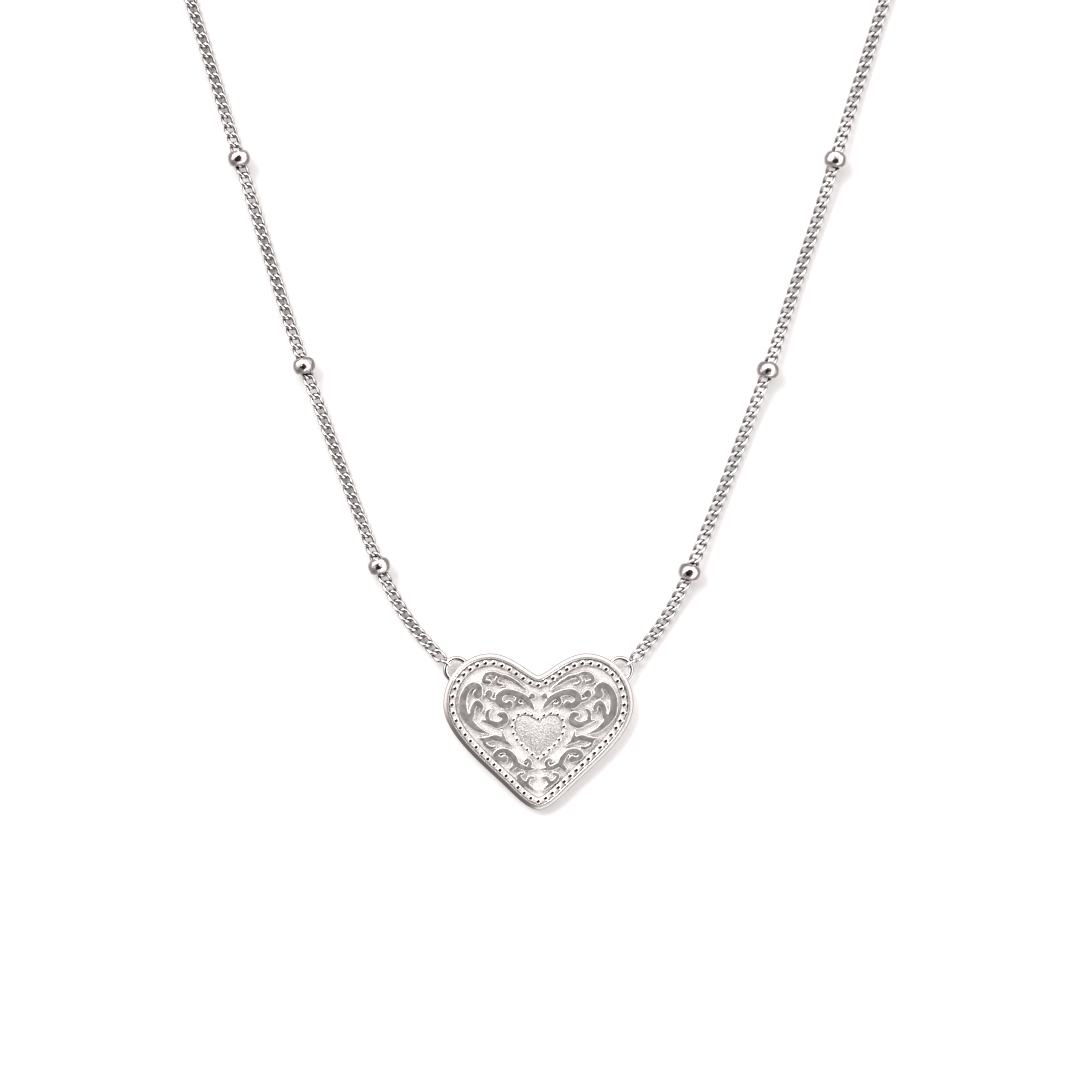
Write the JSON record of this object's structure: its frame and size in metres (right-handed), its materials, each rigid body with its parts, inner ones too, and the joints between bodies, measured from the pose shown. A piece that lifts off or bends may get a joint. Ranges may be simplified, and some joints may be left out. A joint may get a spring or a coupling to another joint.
{
  "type": "heart pendant necklace",
  "caption": "Silver necklace with a heart pendant held at both lobes: scrollwork relief, grain border and a centre heart, on a curb chain with station beads and a lobster clasp.",
  "frame": {"origin": "middle of the heart's flat back, at the centre of the pendant's own box", "axes": "+Z out of the decorated face, +X across the heart towards the right eyelet, +Y from the tip towards the chain"},
  "size_m": [0.0738, 0.1052, 0.0028],
  "materials": {
    "polished_silver": "polished, rhodium-bright",
    "grain_silver": "polished small balls",
    "relief_silver": "polished scroll tops on a matte stippled ground",
    "sandblasted_silver": "sandblasted, sparkling matte",
    "chain_silver": "polished drawn wire",
    "bead_silver": "polished",
    "clasp_silver": "polished, slightly worn",
    "spring_steel": "bright drawn steel"
  },
  "bodies": {
    "pendant": {"heart_frame": "polished_silver", "border_grains": "grain_silver", "scroll_plate": "relief_silver", "centre_heart": "sandblasted_silver", "centre_grains": "grain_silver", "left_eyelet": "polished_silver", "right_eyelet": "polished_silver"},
    "left_end_link": {"left_end_link": "chain_silver"},
    "right_end_link": {"right_end_link": "chain_silver"},
    "left_chain": {"left_chain_1": "chain_silver", "left_chain_2": "chain_silver", "left_chain_3": "chain_silver", "left_chain_4": "chain_silver", "left_bead_1": "bead_silver", "left_bead_2": "bead_silver", "left_bead_3": "bead_silver", "left_bead_4": "bead_silver", "left_coil": "chain_silver", "left_last_link": "chain_silver"},
    "right_chain": {"right_chain_1": "chain_silver", "right_chain_2": "chain_silver", "right_chain_3": "chain_silver", "right_chain_4": "chain_silver", "right_bead_1": "bead_silver", "right_bead_2": "bead_silver", "right_bead_3": "bead_silver", "right_bead_4": "bead_silver", "right_coil": "chain_silver", "right_last_link": "chain_silver"},
    "clasp_ring": {"clasp_ring": "clasp_silver"},
    "clasp_body": {"clasp_body": "clasp_silver", "clasp_pin": "spring_steel", "clasp_spring": "spring_steel"},
    "clasp_lever": {"clasp_lever": "clasp_silver"},
    "end_ring": {"end_ring": "clasp_silver"}
  },
  "joints": [
    {"name": "left_end_link_slide_round", "type": "hinge", "parent": "pendant", "child": "left_end_link", "pos_m": [-0.00774, 0.00587, 0.00085], "axis": [0, 0, 1], "range_deg": [-6, 40]},
    {"name": "right_end_link_slide_round", "type": "hinge", "parent": "pendant", "child": "right_end_link", "pos_m": [0.00774, 0.00587, 0.00085], "axis": [0, 0, -1], "range_deg": [-6, 40]},
    {"name": "left_chain_lift", "type": "hinge", "parent": "left_end_link", "child": "left_chain", "pos_m": [-0.009, 0.00666, 0.00085], "axis": [1, 0, 0], "range_deg": [0, 60]},
    {"name": "right_chain_lift", "type": "hinge", "parent": "right_end_link", "child": "right_chain", "pos_m": [0.009, 0.00666, 0.00085], "axis": [1, 0, 0], "range_deg": [0, 60]},
    {"name": "clasp_ring_swing", "type": "hinge", "parent": "left_chain", "child": "clasp_ring", "pos_m": [-0.0214, 0.08084, 0.001], "axis": [0.7133, 0.7009, 0], "range_deg": [0, 50]},
    {"name": "clasp_swing", "type": "hinge", "parent": "clasp_ring", "child": "clasp_body", "pos_m": [-0.02209, 0.08153, 0.001], "axis": [0.7133, 0.7009, 0], "range_deg": [0, 25]},
    {"name": "clasp_lever_open", "type": "hinge", "parent": "clasp_body", "child": "clasp_lever", "pos_m": [-0.02524, 0.0831, 0.001], "axis": [0, 0, -1], "range_deg": [0, 22], "stiffness_Nm_per_rad": 0.00005, "deforming": ["clasp_spring"]},
    {"name": "end_ring_swing", "type": "hinge", "parent": "right_chain", "child": "end_ring", "pos_m": [0.02063, 0.08005, 0.00075], "axis": [0.7133, -0.7009, 0], "range_deg": [0, 70]}
  ]
}
